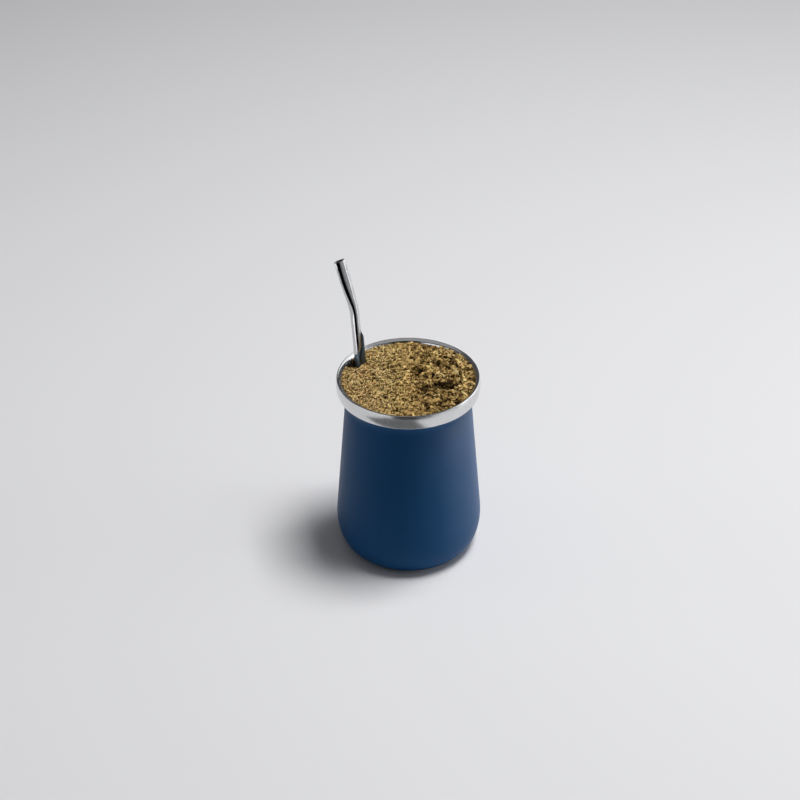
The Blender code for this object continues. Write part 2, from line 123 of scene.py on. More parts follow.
# The band and the liner meet where the lip's rounding starts, each moved in and down from there
BAND_SEAM = Vector((0.02, 0.01)) * MM
LINER_SEAM = Vector((0.01, 0.03)) * MM
BAND_BACK = Vector((1.2, 1.5)) * MM      # hidden edge of the band: in from its seam, and down from the lip
LINER_BACK_DROP = 0.5 * MM               # the liner's back stops this far under its seam
WALL_TOP_RADIUS = 32.65 * MM
WALL_FOOT_RADIUS = 41.1 * MM
BELLY_START = 22.9 * MM
BELLY_POWER = 2.14
FOOT_RADIUS = 29.9 * MM
FOOT_EDGE = 0.4 * MM
COLLAR_HEIGHT = 7.8 * MM
COLLAR_FLARE = 2.6 * MM
COLLAR_EDGE = 0.3 * MM
RECESS_RADIUS = 24.0 * MM
RECESS_DEPTH = 0.8 * MM
WALL_GAUGE = 2.4 * MM
LINER_WALL = 0.8 * MM
LINER_FLOOR = 6.5 * MM
LINER_CORNER = 15.0 * MM
NECK_HEIGHT = 88.0 * MM
FLARE_RISE = Vector((0.7, 6.0)) * MM
FLARE_LIP = Vector((-0.9, -1.5)) * MM
FLARE_EDGE = Vector((35.05, 103.75)) * MM  # where the liner turns outwards to the lip
FLARE_OVERRUN = 0.25                     # the flare runs on past its edge by this share of FLARE_LIP
FLARE_CORNER = 0.25 * MM
POLE_RADIUS = 0.4 * MM                   # turned pieces are closed by a small flat disc at the axis

# Straw
STRAW_AT_FILL = Vector((-25.8, 16.6, 103.4)) * MM
STRAW_LOWER = Vector((-0.075, 0.22, 1.0)).normalized()
STRAW_UPPER = Vector((-0.252, 0.113, 0.961)).normalized()
STRAW_FOOT = 10.0 * MM
STRAW_RADIUS = 2.4 * MM
STRAW_WALL = 0.4 * MM
STRAW_EDGE = 0.12 * MM
STRAW_SEGMENTS = 64
STRAW_SMOOTH_ANGLE = 50.0
BEND_RISE = 29.1 * MM
BEND_RADIUS = 36.0 * MM
BEND_STEPS = 24
UPPER_LENGTH = 28.4 * MM
MOUTH_HALF_WIDTH = 3.1 * MM
MOUTH_HALF_DEPTH = 1.5 * MM
PRESSED_LENGTH = 14.0 * MM
PRESSED_STEPS = 12
SLEEVE_RADIUS = 2.95 * MM
SLEEVE_OFFSET = 0.65 * MM
SLEEVE_TIP_RISE = 18.0 * MM
SLEEVE_TAPER = 14.0 * MM
SLEEVE_SIDE = Vector((1.0, -0.15, 0.0))
SLEEVE_SWELL = 3.0
SLEEVE_DRAW = 6.0
SLEEVE_STEPS = 28
SLEEVE_SPACING = 1.5                     # over 1, its rings lie closer together at the shoulder

# Yerba mate
FILL_LEVEL = 103.2 * MM
FILL_CROWN = 0.5 * MM
FILL_TOP_RADIUS = 34.8 * MM
HEAP_CENTRE = Vector((19.0, 6.0)) * MM
HEAP_SPREAD = 13.0 * MM
HEAP_HEIGHT = 1.5 * MM
CLUMP_START = -4.0 * MM
CLUMP_FULL = 14.0 * MM
CLUMP_SIZE = 4.2 * MM
CLUMP_RELIEF = 1.5 * MM
GRAIN_SIZE = 1.7 * MM
GRAIN_RELIEF = 0.8 * MM
GRAIN_GROWTH = 0.5                       # the grain's relief grows by this share on the rough side
# Pits in the surface: x, y, radius and depth in millimetres
PITS = (
    (2.5, 19.5, 1.6, 1.8),
    (5.1, 6.0, 3.0, 2.0),
    (19.5, -6.7, 3.8, 3.4),
    (8.1, -10.8, 2.8, 2.2),
    (19.2, -21.7, 2.4, 2.2),
    (15.2, 13.7, 2.2, 2.2),
    (-30.8, 14.8, 3.0, 2.6),
)
# Further pits among the loose bits
LEAF_PITS = (
    (3.0, 21.1, 1.8, 1.2),
    (5.6, 5.7, 2.6, 1.6),
    (16.7, 8.6, 2.2, 1.8),
    (15.5, 14.4, 2.0, 1.6),
    (21.0, -8.3, 3.2, 2.0),
    (16.6, -5.2, 2.4, 1.8),
    (9.5, -23.8, 1.8, 1.6),
    (15.3, -24.7, 2.0, 1.8),
    (24.6, -22.0, 1.9, 1.6),
    (12.6, 0.5, 1.6, 1.4),
    (24.5, 4.0, 1.8, 1.4),
    (11.5, -17.0, 1.6, 1.3),
)
STRAW_DIP = (-27.0, 12.5, 3.2, 1.6)      # the shallow dip before the straw, as light as the leaf round it
# Painted shade: in pits and cracks the tone of the core and of the loose bits is darkened, where shade falls
PIT_PAINTED_SHADE = 0.52                      # for each millimetre of depth
PIT_SHADED_KEEP = 0.18                         # share of its tone that a bit keeps in the deepest pit
CRACK_DEPTH = 1.4 * MM
CRACK_WIDTH = 0.34                       # as a share of a clump
# Painted shade in the cracks between clumps
CRACK_PAINTED_SHADE = 0.8
CRACK_WARP = 0.5 * MM                    # how far the cracks stray from straight lines
CRACK_WARP_SIZE = 1.6 * MM
# Core of the filling, under the loose bits
BED_RADIUS = 35.0 * MM
BED_RIM = 102.0 * MM
BED_SIDE = ((20.0, 80.0), (29.5, 80.0), (32.6, 96.0))    # radius and height in millimetres
BED_STEP = 0.42 * MM
BED_SEGMENTS = 320
BED_DROP = 0.35 * MM                     # the core lies this far under the bits' places
BED_RELIEF = 0.22 * MM
BED_RELIEF_SIZE = 0.7 * MM
# Painted shade: the core's low tone stands in for the shade in the gaps between the loose bits
BED_GAP_SHADE_TONE = 0.13
BED_TINT_CHANGE = 0.2
BED_TINT_SIZE = 0.9 * MM
# Shapes of the loose bits, for a length of 1
CRUMB_SIZE = (1.0, 0.7, 0.5)
FLAKE_WIDTH = 0.62
FLAKE_THICKNESS = 0.12
FLAKE_BEND = 0.55
STALK_CUT = 0.17                         # the stalk's two inner rings lie this far from its middle
# Loose bits
TRIES_PER_BIT = 40
BIT_MARGIN = 0.5 * MM                    # no bit's middle comes nearer to the core's edge
BIT_OVERHANG = 0.1 * MM                  # and its end passes that edge by no more than this
BIT_REACH = 0.45                         # from a bit's middle to its end, as a share of its length
BIT_SMALLNESS = 1.8                      # over 1, more bits are near their least size than their most
BIT_UNEVENNESS = 0.22
STRAW_CLEARANCE = 0.7 * MM
ROUGH_LEAD = 6.0 * MM                    # coarse bits begin this far before the clumps
SIZE_BY_ROUGHNESS = (0.85, 0.3)          # size on the smooth side, and what the rough side adds
TILT_BY_ROUGHNESS = (0.8, 0.6)
DULL_START = -20.0 * MM                  # from left to right the leaf gets duller from here
DULL_WIDTH = 24.0 * MM
CLEAR_START = 6.0 * MM                   # and clearer again from here
CLEAR_WIDTH = 12.0 * MM
CLEAR_SHARE = 0.85
DULLNESS = 0.30
SEED = 7


# Camera, floor and light

def add_camera():
    camera = bpy.data.objects.new("camera", bpy.data.cameras.new("camera"))
    bpy.context.scene.collection.objects.link(camera)
    camera.data.lens = LENS
    camera.data.sensor_width = SENSOR
    camera.data.clip_start = 0.01
    back = Vector((0.0, -math.cos(CAMERA_TILT), math.sin(CAMERA_TILT)))
    camera.location = AIM_POINT + back * CAMERA_DISTANCE
    look = Matrix.Rotation(0.5 * math.pi - CAMERA_TILT, 3, "X")
    camera.rotation_euler = (look @ Matrix.Rotation(-CAMERA_ROLL, 3, "Z")).to_euler()
    bpy.context.scene.camera = camera


def aim(item, target):
    item.rotation_euler = (Vector(target) - item.location).to_track_quat("-Z", "Y").to_euler()


def add_softbox(name, place, target, width, height, power, mirror_only=False):
    light = bpy.data.lights.new(name, "AREA")
    light.shape = "RECTANGLE"
    light.size = width
    light.size_y = height
    light.energy = power
    item = bpy.data.objects.new(name, light)
    bpy.context.scene.collection.objects.link(item)
    item.location = place
    item.visible_camera = False
    item.visible_glossy = mirror_only
    item.visible_diffuse = not mirror_only
    aim(item, target)
    return item


def add_light():
    for light in LIGHTS:
        add_softbox(*light)
    for card in PALE_CARDS:
        add_softbox(*card, mirror_only=True)


def add_coating_glow(shell):
    """A pale card low on the right that only the coating mirrors, as its broad soft sheen."""
    card = add_softbox(*COATING_CARD, mirror_only=True)
    receivers = bpy.data.collections.new("coated")
    receivers.objects.link(shell)
    card.light_linking.receiver_collection = receivers


def add_surroundings():
    """A dark room round the pale floor."""
    world = bpy.data.worlds.new("studio")
    world.use_nodes = True
    background = world.node_tree.nodes["Background"]
    background.inputs["Color"].default_value = (*ROOM_COLOUR, 1.0)
    background.inputs["Strength"].default_value = ROOM_GLOW
    bpy.context.scene.world = world
    bpy.context.scene.view_settings.view_transform = "Standard"


def add_plane(name, size, place, turn=FLAT):
    bpy.ops.object.select_all(action="DESELECT")
    bpy.ops.mesh.primitive_plane_add(size=size, location=place, rotation=turn)
    plane = bpy.context.object
    plane.name = plane.data.name = name
    return plane


def add_dark_card(name, place, turn, width, height, glow):
    card = add_plane(name, 1.0, place, turn)
    card.scale = (width, height, 1.0)
    card.visible_camera = False
    card.visible_diffuse = False
    card.visible_shadow = False
    material, shader = new_material(name)
    shader.inputs["Base Color"].default_value = (*CARD_BLACK, 1.0)
    shader.inputs["Roughness"].default_value = 0.9
    shader.inputs["Specular IOR Level"].default_value = 0.0
    shader.inputs["Emission Color"].default_value = (*CARD_GLOW_COLOUR, 1.0)
    shader.inputs["Emission Strength"].default_value = glow
    card.data.materials.append(material)


def add_floor():
    floor = add_plane("floor", FLOOR_SIZE, (0.0, 0.0, -FLOOR_DROP))
    material, shader = new_material("pale_floor")
    shader.inputs["Base Color"].default_value = (*FLOOR_COLOUR, 1.0)
    shader.inputs["Roughness"].default_value = 0.75
    shader.inputs["Specular IOR Level"].default_value = 0.0
    floor.data.materials.append(material)


# Shader groups

def new_group(name, inputs):
    """A shader node group with float inputs, given with their values, and one float output, Value."""
    group = bpy.data.node_groups.new(name, "ShaderNodeTree")
    for label, value in inputs:
        socket = group.interface.new_socket(label, in_out="INPUT", socket_type="NodeSocketFloat")
        socket.default_value = value
    group.interface.new_socket("Value", in_out="OUTPUT", socket_type="NodeSocketFloat")
    start = group.nodes.new("NodeGroupInput")
    end = group.nodes.new("NodeGroupOutput")
    return group, start, end


def math_node(tree, operation, first, second=None):
    node = tree.nodes.new("ShaderNodeMath")
    node.operation = operation
    for socket, value in zip(node.inputs, (first, second)):
        if isinstance(value, bpy.types.NodeSocket):
            tree.links.new(value, socket)
        elif value is not None:
            socket.default_value = value
    return node.outputs[0]


def make_turning_lines():
    """Fine lines that run round the cup's axis, as brushing on a lathe leaves them."""
    tree, start, end = new_group("turning_lines", [("Fineness", 6000.0), ("Drift", 60.0)])
    coordinates = tree.nodes.new("ShaderNodeTexCoord")
    split = tree.nodes.new("ShaderNodeSeparateXYZ")
    tree.links.new(coordinates.outputs["Object"], split.inputs[0])
    x, y, z = split.outputs
    square_x = math_node(tree, "MULTIPLY", x, x)
    square_y = math_node(tree, "MULTIPLY", y, y)
    radius = math_node(tree, "SQRT", math_node(tree, "ADD", square_x, square_y))
    fine = math_node(tree, "MULTIPLY", math_node(tree, "ADD", radius, z), start.outputs["Fineness"])
    joined = tree.nodes.new("ShaderNodeCombineXYZ")
    tree.links.new(math_node(tree, "MULTIPLY", x, start.outputs["Drift"]), joined.inputs[0])
    tree.links.new(math_node(tree, "MULTIPLY", y, start.outputs["Drift"]), joined.inputs[1])
    tree.links.new(fine, joined.inputs[2])
    pattern = tree.nodes.new("ShaderNodeTexNoise")
    pattern.inputs["Scale"].default_value = 1.0
    pattern.inputs["Detail"].default_value = 3.0
    tree.links.new(joined.outputs[0], pattern.inputs["Vector"])
    tree.links.new(pattern.outputs[0], end.inputs["Value"])
    return tree


def make_smudges():
    """Faint uneven patches, as handling leaves them on a smooth finish."""
    tree, start, end = new_group("smudges", [("Scale", 60.0), ("Least", 0.0), ("Most", 1.0)])
    coordinates = tree.nodes.new("ShaderNodeTexCoord")
    pattern = tree.nodes.new("ShaderNodeTexNoise")
    pattern.inputs["Detail"].default_value = 4.0
    pattern.inputs["Roughness"].default_value = 0.6
    tree.links.new(coordinates.outputs["Object"], pattern.inputs["Vector"])
    tree.links.new(start.outputs["Scale"], pattern.inputs["Scale"])
    fit = tree.nodes.new("ShaderNodeMapRange")
    fit.inputs["From Min"].default_value = 0.3
    fit.inputs["From Max"].default_value = 0.7
    tree.links.new(pattern.outputs[0], fit.inputs["Value"])
    tree.links.new(start.outputs["Least"], fit.inputs["To Min"])
    tree.links.new(start.outputs["Most"], fit.inputs["To Max"])
    tree.links.new(fit.outputs["Result"], end.inputs["Value"])
    return tree


# Materials

def new_material(name):
    material = bpy.data.materials.new(name)
    material.use_nodes = True
    return material, material.node_tree.nodes["Principled BSDF"]


def use_group(tree, group, **values):
    node = tree.nodes.new("ShaderNodeGroup")
    node.node_tree = group
    for label, value in values.items():
        node.inputs[label].default_value = value
    return node.outputs[0]


def add_bump(tree, shader, height, distance, strength):
    bump = tree.nodes.new("ShaderNodeBump")
    bump.inputs["Distance"].default_value = distance
    bump.inputs["Strength"].default_value = strength
    tree.links.new(height, bump.inputs["Height"])
    tree.links.new(bump.outputs["Normal"], shader.inputs["Normal"])


def add_ramp(tree, value, stops):
    ramp = tree.nodes.new("ShaderNodeValToRGB")
    band = ramp.color_ramp
    while len(band.elements) < len(stops):
        band.elements.new(0.5)
    for element, (place, colour) in zip(band.elements, stops):
        element.position = place
        element.color = (*colour, 1.0)
    tree.links.new(value, ramp.inputs[0])
    return ramp.outputs[0]


def smudge_roughness(tree, shader, smudges, scale, least, most):
    """Roughness that changes in faint patches between two values."""
    patches = use_group(tree, smudges, Scale=scale, Least=least, Most=most)
    tree.links.new(patches, shader.inputs["Roughness"])


def navy_coating(smudges):
    material, shader = new_material("navy_coating")
    tree = material.node_tree
    coordinates = tree.nodes.new("ShaderNodeTexCoord")
    speckle = tree.nodes.new("ShaderNodeTexNoise")
    speckle.inputs["Scale"].default_value = 2600.0
    speckle.inputs["Detail"].default_value = 2.0
    tree.links.new(coordinates.outputs["Object"], speckle.inputs["Vector"])
    tone = use_group(tree, smudges, Scale=22.0, Least=0.0, Most=1.0)
    tree.links.new(add_ramp(tree, tone, COATING_TONES), shader.inputs["Base Color"])
    smudge_roughness(tree, shader, smudges, 45.0, 0.38, 0.44)
    shader.inputs["Specular IOR Level"].default_value = 0.10
    add_bump(tree, shader, speckle.outputs[0], 0.02 * MM, 0.35)
    return material


def turned_steel(name, lines, smudges, fineness, drift, roughness, depth, strength):
    """Steel with fine lines round the cup's axis; roughness gives its patches' scale, least and most."""
    material, shader = new_material(name)
    tree = material.node_tree
    shader.inputs["Metallic"].default_value = 1.0
    streak = use_group(tree, lines, Fineness=fineness, Drift=drift)
    tree.links.new(add_ramp(tree, streak, STEEL_TONES), shader.inputs["Base Color"])
    smudge_roughness(tree, shader, smudges, *roughness)
    add_bump(tree, shader, streak, depth, strength)
    return material


def satin_steel(lines, smudges):
    return turned_steel("satin_steel", lines, smudges, fineness=7000.0, drift=45.0,
                        roughness=(80.0, 0.19, 0.25), depth=0.01 * MM, strength=0.5)


def bright_steel(lines, smudges):
    return turned_steel("bright_steel", lines, smudges, fineness=3500.0, drift=90.0,
                        roughness=(120.0, 0.13, 0.19), depth=0.005 * MM, strength=0.4)


def straw_steel(name, tones, least, most, smudges):
    """Plain tube steel, its roughness between least and most."""
    material, shader = new_material(name)
    tree = material.node_tree
    shader.inputs["Metallic"].default_value = 1.0
    tone = use_group(tree, smudges, Scale=300.0, Least=0.0, Most=1.0)
    tree.links.new(add_ramp(tree, tone, tones), shader.inputs["Base Color"])
    smudge_roughness(tree, shader, smudges, 180.0, least, most)
    return material


def leaf_material(name, roughness):
    """Dry leaf: a tone for each bit from the piece's own attribute, which also carries painted shade in pits
    and cracks, mottled by a finer pattern.
    """
    material, shader = new_material(name)
    tree = material.node_tree
    tone_and_shade = tree.nodes.new("ShaderNodeAttribute")
    tone_and_shade.attribute_name = "tone_and_shade"
    coordinates = tree.nodes.new("ShaderNodeTexCoord")
    mottle = tree.nodes.new("ShaderNodeTexNoise")
    mottle.inputs["Scale"].default_value = 1500.0
    mottle.inputs["Detail"].default_value = 3.0
    tree.links.new(coordinates.outputs["Object"], mottle.inputs["Vector"])
    shift = math_node(tree, "MULTIPLY", math_node(tree, "SUBTRACT", mottle.outputs[0], 0.5), 0.35)
    colour = add_ramp(tree, math_node(tree, "ADD", tone_and_shade.outputs["Fac"], shift), LEAF_TONES)
    tree.links.new(colour, shader.inputs["Base Color"])
    shader.inputs["Roughness"].default_value = roughness
    shader.inputs["Specular IOR Level"].default_value = 0.25
    add_bump(tree, shader, mottle.outputs[0], 0.1 * MM, 0.6)
    return material


# Modelling

def start_piece(name):
    """Name the primitive that was just added, fix its place in its mesh, and open it, all selected."""
    piece = bpy.context.object
    piece.name = piece.data.name = name
    bpy.ops.object.transform_apply(location=True, rotation=True, scale=True)
    bpy.ops.object.mode_set(mode="EDIT")
    bpy.ops.mesh.select_all(action="SELECT")
    return piece


def close_piece():
    """Turn all faces outwards and leave edit mode."""
    bpy.ops.mesh.select_all(action="SELECT")
    bpy.ops.mesh.normals_make_consistent(inside=False)
    bpy.ops.object.mode_set(mode="OBJECT")


def extrude_ring(rise, size, shift=(0.0, 0.0), centre=(0.0, 0.0, 0.0)):
    """Extrude the selected ring upwards, then resize it across the axis by (x, y) about its new centre."""
    bpy.ops.mesh.extrude_region_move(TRANSFORM_OT_translate={"value": (*shift, rise)})
    bpy.ops.transform.resize(value=(size[0], size[1], 1.0), center_override=centre)


def turn_profile(name, profile, segments):
    """Start a turned form: a ring at the profile's first point is extruded and resized to each next one."""
    bpy.ops.object.select_all(action="DESELECT")
    bpy.ops.mesh.primitive_circle_add(
        vertices=segments, radius=profile[0].x, location=(0.0, 0.0, profile[0].y))
    piece = start_piece(name)
    for before, after in zip(profile, profile[1:]):
        size = after.x / before.x
        extrude_ring(after.y - before.y, (size, size), centre=(0.0, 0.0, after.y))
    return piece


def lathe(name, profile, segments=SEGMENTS):
    """Turn a closed form, with a flat disc at each end of its profile."""
    piece = turn_profile(name, profile, segments)
    bpy.ops.mesh.select_all(action="SELECT")
    bpy.ops.mesh.fill_holes(sides=0)
    close_piece()
    return piece


def finish_round(piece, material, angle=35.0):
    bpy.ops.object.select_all(action="DESELECT")
    piece.select_set(True)
    bpy.context.view_layer.objects.active = piece
    bpy.ops.object.shade_smooth_by_angle(angle=math.radians(angle))
    piece.data.materials.append(material)


def wall_radius(height):
    """Radius of the straight tapered wall."""
    share = height / (CUP_HEIGHT - BAND_HEIGHT)
    return WALL_FOOT_RADIUS + (WALL_TOP_RADIUS - WALL_FOOT_RADIUS) * share


def round_corner(before, corner, after, size, count=4):
    """Points of an arc-like curve that rounds a profile's corner, reaching size along both sides."""
    start = corner + (before - corner).normalized() * size
    end = corner + (after - corner).normalized() * size
    points = []
    for i in range(count + 1):
        t = i / count
        points.append(start * (1 - t) ** 2 + corner * (2 * t * (1 - t)) + end * t ** 2)
    return points


def belly_points(count=28):
    """Down and in along the full belly, from the wall to the flat foot."""
    corner = Vector((WALL_FOOT_RADIUS, 0.0))
    top = Vector((wall_radius(BELLY_START), BELLY_START))
    foot = Vector((FOOT_RADIUS, 0.0))
    points = []
    for i in range(count + 1):
        angle = 0.5 * math.pi * i / count
        up = 1.0 - math.sin(angle) ** (2.0 / BELLY_POWER)
        along = 1.0 - max(math.cos(angle), 0.0) ** (2.0 / BELLY_POWER)
        points.append(corner + (top - corner) * up + (foot - corner) * along)
    return points


def collar_points(count=12):
    """Down the hollow flare under the band."""
    top = CUP_HEIGHT - BAND_HEIGHT - BAND_GAP
    points = []
    for i in range(count + 1):
        share = 1.0 - i / count
        height = top - COLLAR_HEIGHT * (1.0 - share)
        points.append(Vector((wall_radius(height) + COLLAR_FLARE * share ** 2, height)))
    return points


def liner_face(inset=0.0, corner_count=6, flare_count=20):
    """The liner's inner face from near the axis out and up to the lip, moved outwards by inset."""
    neck = Vector((wall_radius(NECK_HEIGHT) - WALL_GAUGE + inset, NECK_HEIGHT))
    lip = Vector((LIP_INNER_RADIUS + inset, CUP_HEIGHT - LIP_INNER_DROP))
    edge = FLARE_EDGE + Vector((inset, 0.0))
    low_radius = wall_radius(BELLY_START) - WALL_GAUGE
    points = [Vector((POLE_RADIUS, LINER_FLOOR - inset))]
    for i in range(corner_count + 1):
        angle = 0.5 * math.pi * i / corner_count
        radius = low_radius - LINER_CORNER + (LINER_CORNER + inset) * math.sin(angle)
        height = LINER_FLOOR + LINER_CORNER - (LINER_CORNER + inset) * math.cos(angle)
        points.append(Vector((radius, height)))
    for i in range(flare_count + 1):
        t = i / flare_count
        s = 1.0 - t
        near = neck * s ** 3 + (neck + FLARE_RISE) * (3 * s * s * t)
        points.append(near + (edge + FLARE_LIP) * (3 * s * t * t) + edge * t ** 3)
    corner = edge - FLARE_LIP * FLARE_OVERRUN
    return points + round_corner(edge, corner, lip, FLARE_CORNER)[1:] + [lip]


def below(points, height):
    """The part of a rising profile under a height, cut off there."""
    kept = [point for point in points if point.y < height]
    low, high = kept[-1], points[len(kept)]
    return kept + [low.lerp(high, (height - low.y) / (high.y - low.y))]


def make_coated_shell(material):
    inner = below(liner_face(LINER_WALL + BAND_GAP), CUP_HEIGHT - BAND_HEIGHT - BAND_GAP)
    collar = collar_points()
    belly = belly_points()
    edge = round_corner(inner[-1], collar[0], collar[1], COLLAR_EDGE)
    foot = Vector((RECESS_RADIUS, 0.0))
    recess = Vector((RECESS_RADIUS - RECESS_DEPTH, RECESS_DEPTH))
    pole = Vector((POLE_RADIUS, RECESS_DEPTH))
    profile = inner + edge + collar[1:] + belly[1:]
    profile += round_corner(belly[-1], foot, recess, FOOT_EDGE)
    profile += round_corner(foot, recess, pole, FOOT_EDGE)
    profile.append(pole)
    shell = lathe("coated_shell", profile)
    finish_round(shell, material)
    return shell


def lip_points(count=8):
    """Out and down round the lip's edge."""
    points = []
    for i in range(count + 1):
        angle = 0.5 * math.pi * i / count
        radius = LIP_RADIUS - LIP_EDGE + LIP_EDGE * math.sin(angle)
        height = CUP_HEIGHT - LIP_EDGE + LIP_EDGE * math.cos(angle)
        points.append(Vector((radius, height)))
    return points


def band_points(count=16):
    """Down the slightly bulging outside of the band, below the lip's rounding."""
    top = CUP_HEIGHT - LIP_EDGE
    low = CUP_HEIGHT - BAND_HEIGHT
    points = []
    for i in range(1, count + 1):
        share = i / count
        radius = LIP_RADIUS + (BAND_LOW_RADIUS - LIP_RADIUS) * share
        bulge = 4.0 * BAND_BULGE * share * (1.0 - share)
        points.append(Vector((radius + bulge, top + (low - top) * share)))
    return points


def seam_point(seam):
    """Where a sheet ends at the start of the lip's rounding."""
    return Vector((LIP_RADIUS - LIP_EDGE - seam.x, CUP_HEIGHT - seam.y))


def make_lip_band(material):
    """The satin band round the outside of the mouth, from the lip's top to under its lower edge."""
    outer = lip_points() + band_points()
    corner = outer.pop()
    under = Vector((BAND_LOW_RADIUS - BAND_UNDERSIDE, CUP_HEIGHT - BAND_HEIGHT))
    start = seam_point(BAND_SEAM)
    back = Vector((start.x - BAND_BACK.x, CUP_HEIGHT - BAND_BACK.y))
    profile = [back, start] + outer + round_corner(outer[-1], corner, under, BAND_EDGE) + [under]
    band = turn_profile("lip_band", profile, SEGMENTS)
    bpy.ops.mesh.select_all(action="DESELECT")
    bpy.ops.mesh.select_mode(type="EDGE")
    bpy.ops.mesh.select_non_manifold()
    bpy.ops.mesh.bridge_edge_loops()
    bpy.ops.mesh.select_mode(type="VERT")
    close_piece()
    finish_round(band, material)
    return band


def make_liner(material):
    """The bare inside of the cup, out to its seam with the band, and back down behind its own face."""
    seam = seam_point(LINER_SEAM)
    highest = seam.y - LINER_BACK_DROP
    back = [Vector((point.x, min(point.y, highest))) for point in liner_face(0.5 * LINER_WALL)]
    liner = lathe("steel_cup_inside", liner_face() + [seam] + list(reversed(back)))
    finish_round(liner, material)
    return liner


def smooth_step(value):
    """A soft step from 0 to 1 as the value goes from 0 to 1."""
    value = min(max(value, 0.0), 1.0)
    return value * value * (3.0 - 2.0 * value)


def across(vector, axis):
    """The direction of a vector's part across an axis."""
    return (vector - axis * vector.dot(axis)).normalized()


def straw_at_height(height):
    """The middle of the straw's straight lower part at a height."""
    return STRAW_AT_FILL + STRAW_LOWER * ((height - STRAW_AT_FILL.z) / STRAW_LOWER.z)


def straw_place():
    """The frame in which the straw is modelled upright: it bends about X, and Z runs up its lower part."""
    hinge = STRAW_LOWER.cross(STRAW_UPPER).normalized()
    aside = STRAW_LOWER.cross(hinge).normalized()
    turn = Matrix((hinge, aside, STRAW_LOWER)).transposed().to_4x4()
    return Matrix.Translation(straw_at_height(STRAW_FOOT)) @ turn


def select_above(piece, height):
    """Select a piece's vertices above a height, from object mode, and enter edit mode."""
    bpy.ops.object.mode_set(mode="OBJECT")
    for vertex in piece.data.vertices:
        vertex.select = vertex.co.z > height
    bpy.ops.object.mode_set(mode="EDIT")


def straw_to_fill():
    """Length of the straw from its foot to the leaf's surface."""
    return (STRAW_AT_FILL - straw_at_height(STRAW_FOOT)).length


def bend_tube(tube, bend_start, turn):
    """Bend the upright tube step by step, from the bend's top down to its start."""
    step = BEND_RADIUS * turn / BEND_STEPS
    for i in range(BEND_STEPS):
        hinge = bend_start + step * (BEND_STEPS - i - 0.5)
        select_above(tube, hinge)
        bpy.ops.transform.rotate(
            value=-turn / BEND_STEPS, orient_axis="X", orient_type="GLOBAL",
            center_override=(0.0, 0.0, hinge))


def hollow_tube(tube):
    """Give the tube its wall, and soften the edges of its mouth."""
    wall = tube.modifiers.new("wall", "SOLIDIFY")
    wall.thickness = STRAW_WALL
    wall.offset = -1.0
    bpy.ops.object.modifier_apply(modifier="wall")
    edge = tube.modifiers.new("edge", "BEVEL")
    edge.width = STRAW_EDGE
    edge.segments = 2
    edge.limit_method = "ANGLE"
    edge.angle_limit = math.radians(60)
    bpy.ops.object.modifier_apply(modifier="edge")


def place_on_straw(piece, material):
    """Lean an upright piece as the straw leans, and finish it."""
    piece.matrix_world = straw_place()
    bpy.ops.object.transform_apply(location=True, rotation=True, scale=True)
    finish_round(piece, material, STRAW_SMOOTH_ANGLE)


def make_straw_tube(material):
    """Extruded upright ring by ring and pressed to its oval, then bent step by step, hollowed and placed."""
    turn = STRAW_LOWER.angle(STRAW_UPPER)
    reach = BEND_RADIUS * math.tan(0.5 * turn)
    bend_start = straw_to_fill() + BEND_RISE - reach
    bend_length = BEND_RADIUS * turn
    top = bend_start + bend_length + UPPER_LENGTH - reach
    heights = [bend_start * share for share in (0.25, 0.5, 0.75, 1.0)]
    heights += [bend_start + bend_length / BEND_STEPS * (i + 1) for i in range(BEND_STEPS)]
    bend_end = bend_start + bend_length
    heights += [bend_end + PRESSED_LENGTH * (i + 1) / PRESSED_STEPS for i in range(PRESSED_STEPS)]
    heights += [0.5 * (heights[-1] + top), top]
    bpy.ops.object.select_all(action="DESELECT")
    bpy.ops.mesh.primitive_circle_add(vertices=STRAW_SEGMENTS, radius=STRAW_RADIUS, fill_type="NGON")
    tube = start_piece("straw_tube")
    low, wide, deep = 0.0, STRAW_RADIUS, STRAW_RADIUS
    for height in heights:
        press = smooth_step((height - bend_start) / (bend_length + PRESSED_LENGTH))
        new_wide = STRAW_RADIUS + (MOUTH_HALF_WIDTH - STRAW_RADIUS) * press
        new_deep = STRAW_RADIUS + (MOUTH_HALF_DEPTH - STRAW_RADIUS) * press
        extrude_ring(height - low, (new_deep / deep, new_wide / wide), centre=(0.0, 0.0, height))
        low, wide, deep = height, new_wide, new_deep
    bpy.ops.mesh.delete(type="ONLY_FACE")
    bend_tube(tube, bend_start, turn)
    close_piece()
    hollow_tube(tube)
    place_on_straw(tube, material)
    return tube


def sleeve_section(share):
    """Radius and middle of the sleeve's ring, from its shoulder (share 0) to its tip (share 1)."""
    full_edge = SLEEVE_OFFSET + SLEEVE_RADIUS
    low_joint = full_edge - (full_edge ** 2 - STRAW_RADIUS ** 2) / (2.0 * SLEEVE_OFFSET)
    edge = STRAW_RADIUS + (full_edge - STRAW_RADIUS) * smooth_step(SLEEVE_SWELL * (1.0 - share))
    joint = STRAW_RADIUS - (STRAW_RADIUS - low_joint) * (1.0 - share) ** SLEEVE_DRAW
    middle = (edge ** 2 - STRAW_RADIUS ** 2) / (2.0 * (edge - joint))
    return edge - middle, middle


